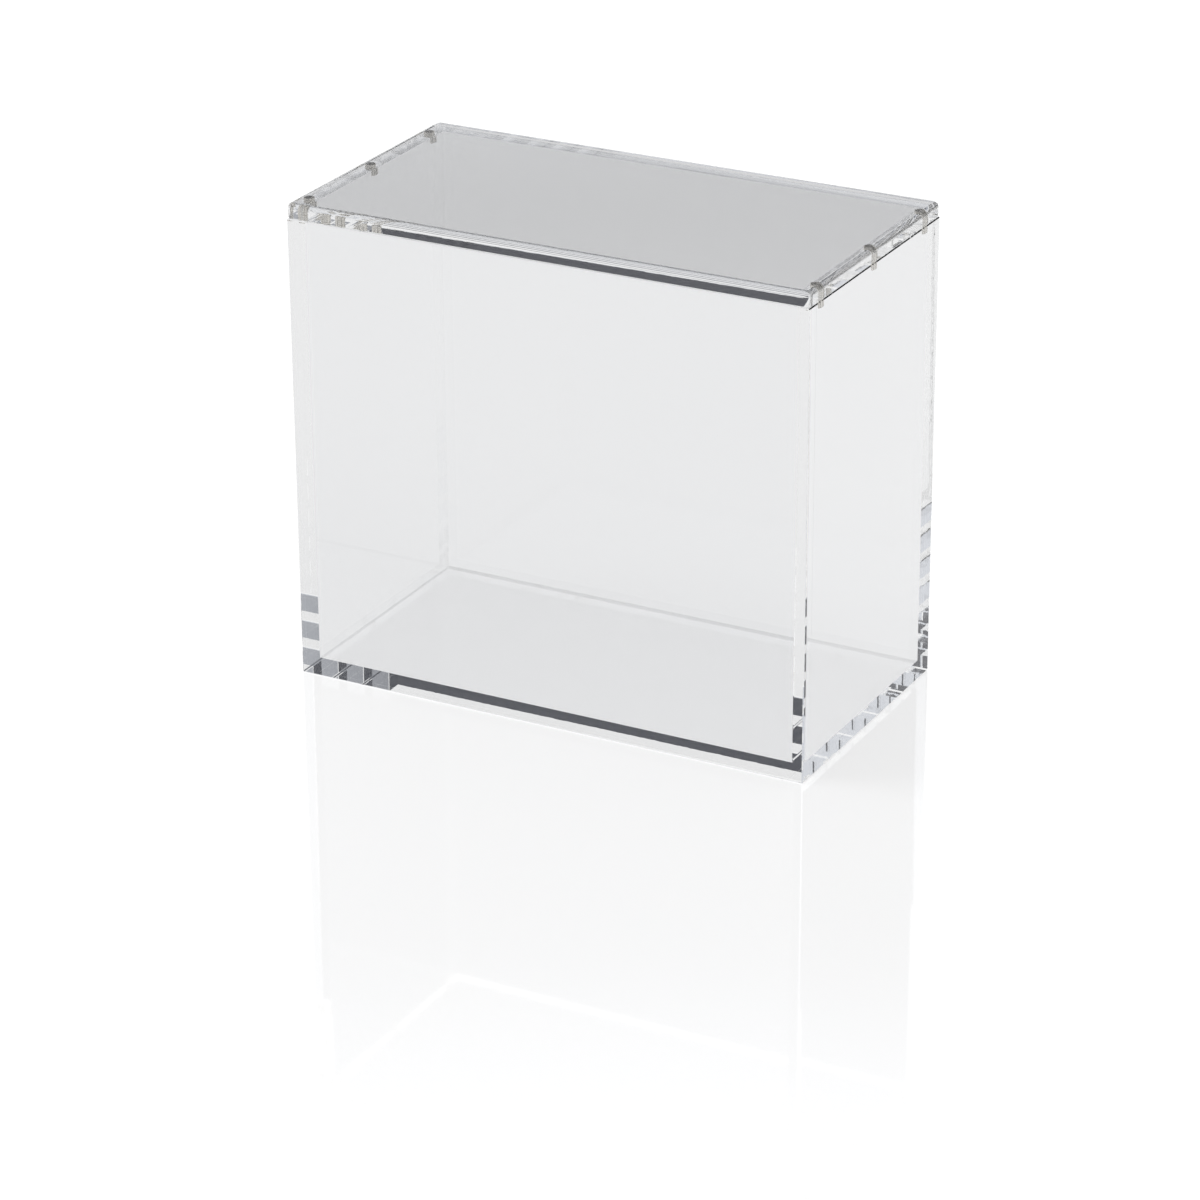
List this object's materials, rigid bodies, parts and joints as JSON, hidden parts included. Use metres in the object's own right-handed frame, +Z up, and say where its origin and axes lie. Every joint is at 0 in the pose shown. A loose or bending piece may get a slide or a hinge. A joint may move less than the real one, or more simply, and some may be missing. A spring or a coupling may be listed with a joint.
{
  "type": "storage box",
  "caption": "Clear acrylic box with a flat lift-off lid, polished welded edges and small disc magnets that seat the lid.",
  "frame": {"origin": "middle of the underside of the closed box, on the surface that it stands on", "axes": "+X to the right along the width, -Y towards the front, +Z up, the way the lid lifts off"},
  "size_m": [0.2034, 0.1068, 0.1809],
  "materials": {
    "clear_acrylic": "gloss",
    "plated_magnet": "polished"
  },
  "bodies": {
    "case": {"base_panel": "clear_acrylic", "front_panel": "clear_acrylic", "back_panel": "clear_acrylic", "left_panel": "clear_acrylic", "right_panel": "clear_acrylic", "wall_magnet_left_front": "plated_magnet", "wall_magnet_left_middle": "plated_magnet", "wall_magnet_left_back": "plated_magnet", "wall_magnet_right_front": "plated_magnet", "wall_magnet_right_middle": "plated_magnet", "wall_magnet_right_back": "plated_magnet"},
    "lid": {"lid": "clear_acrylic", "lid_magnet_left_front": "plated_magnet", "lid_magnet_left_middle": "plated_magnet", "lid_magnet_left_back": "plated_magnet", "lid_magnet_right_front": "plated_magnet", "lid_magnet_right_middle": "plated_magnet", "lid_magnet_right_back": "plated_magnet"}
  },
  "joints": [
    {"name": "lid_lift", "type": "slide", "parent": "case", "child": "lid", "axis": [0, 0, 1], "range_m": [0, 0.12]}
  ]
}
